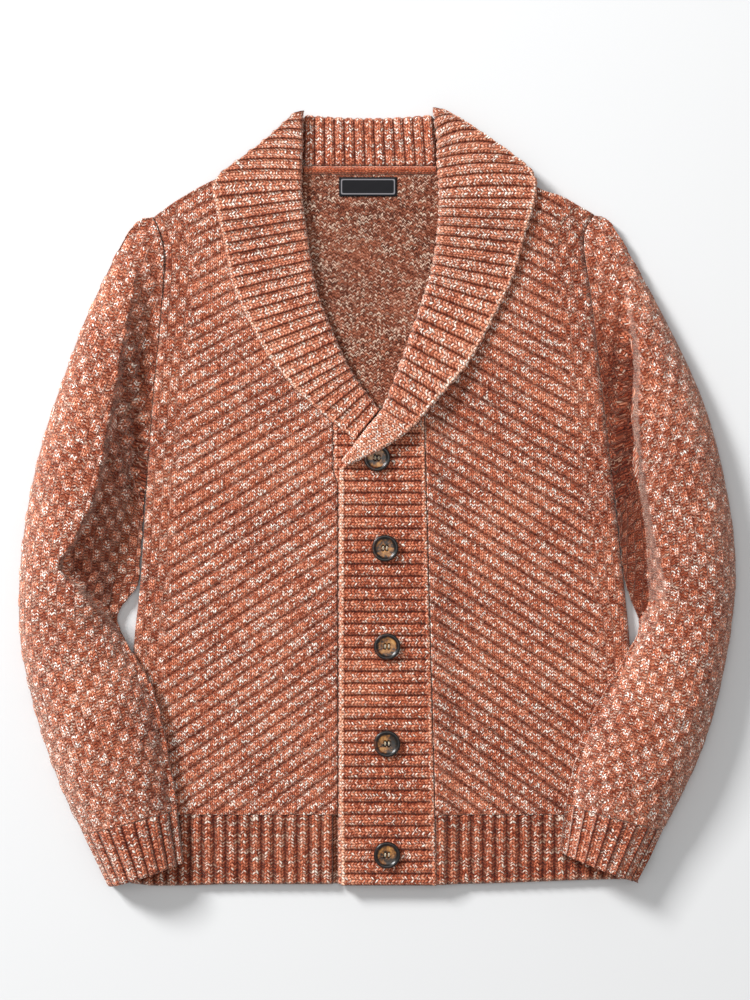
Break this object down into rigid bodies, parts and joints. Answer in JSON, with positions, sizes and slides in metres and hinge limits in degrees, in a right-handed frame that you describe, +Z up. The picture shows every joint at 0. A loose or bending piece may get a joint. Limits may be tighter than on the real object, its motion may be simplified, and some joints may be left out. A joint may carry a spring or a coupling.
{
  "type": "shawl collar cardigan",
  "caption": "Chunky marled knit cardigan with a ribbed shawl collar, diagonal rib fronts and basket stitch sleeves, buttoned and laid out flat.",
  "frame": {"origin": "on the surface that the garment lies on, under the middle of its outline", "axes": "+Z up off the surface, +Y from the hem towards the collar, +X towards the right front's side, which is the viewer's right"},
  "size_m": [0.646, 0.7006, 0.0402],
  "materials": {
    "marled_knit": "chunky rust wool knit marled with cream, matt with a soft nap",
    "inside_knit": "purl side of the same marled knit, darker",
    "binding_knit": "plain rust knit roll",
    "woven_label": "dark woven tape with a grey woven frame, bare",
    "button": "polished dark tortoiseshell resin"
  },
  "bodies": {
    "root": {"back_panel": "inside_knit", "hem_rib_back": "marled_knit", "front_left": "marled_knit", "front_right": "marled_knit", "hem_rib_left": "marled_knit", "hem_rib_right": "marled_knit", "sleeve_left": "marled_knit", "sleeve_left_under": "marled_knit", "sleeve_right": "marled_knit", "sleeve_right_under": "marled_knit", "cuff_left": "marled_knit", "cuff_left_under": "marled_knit", "cuff_right": "marled_knit", "cuff_right_under": "marled_knit", "under_band": "marled_knit", "button_band": "marled_knit", "collar_left": "marled_knit", "collar_right": "marled_knit", "collar_back": "marled_knit", "neck_binding": "binding_knit", "label": "woven_label", "button_1": "button", "button_2": "button", "button_3": "button", "button_4": "button", "button_5": "button"}
  },
  "joints": []
}
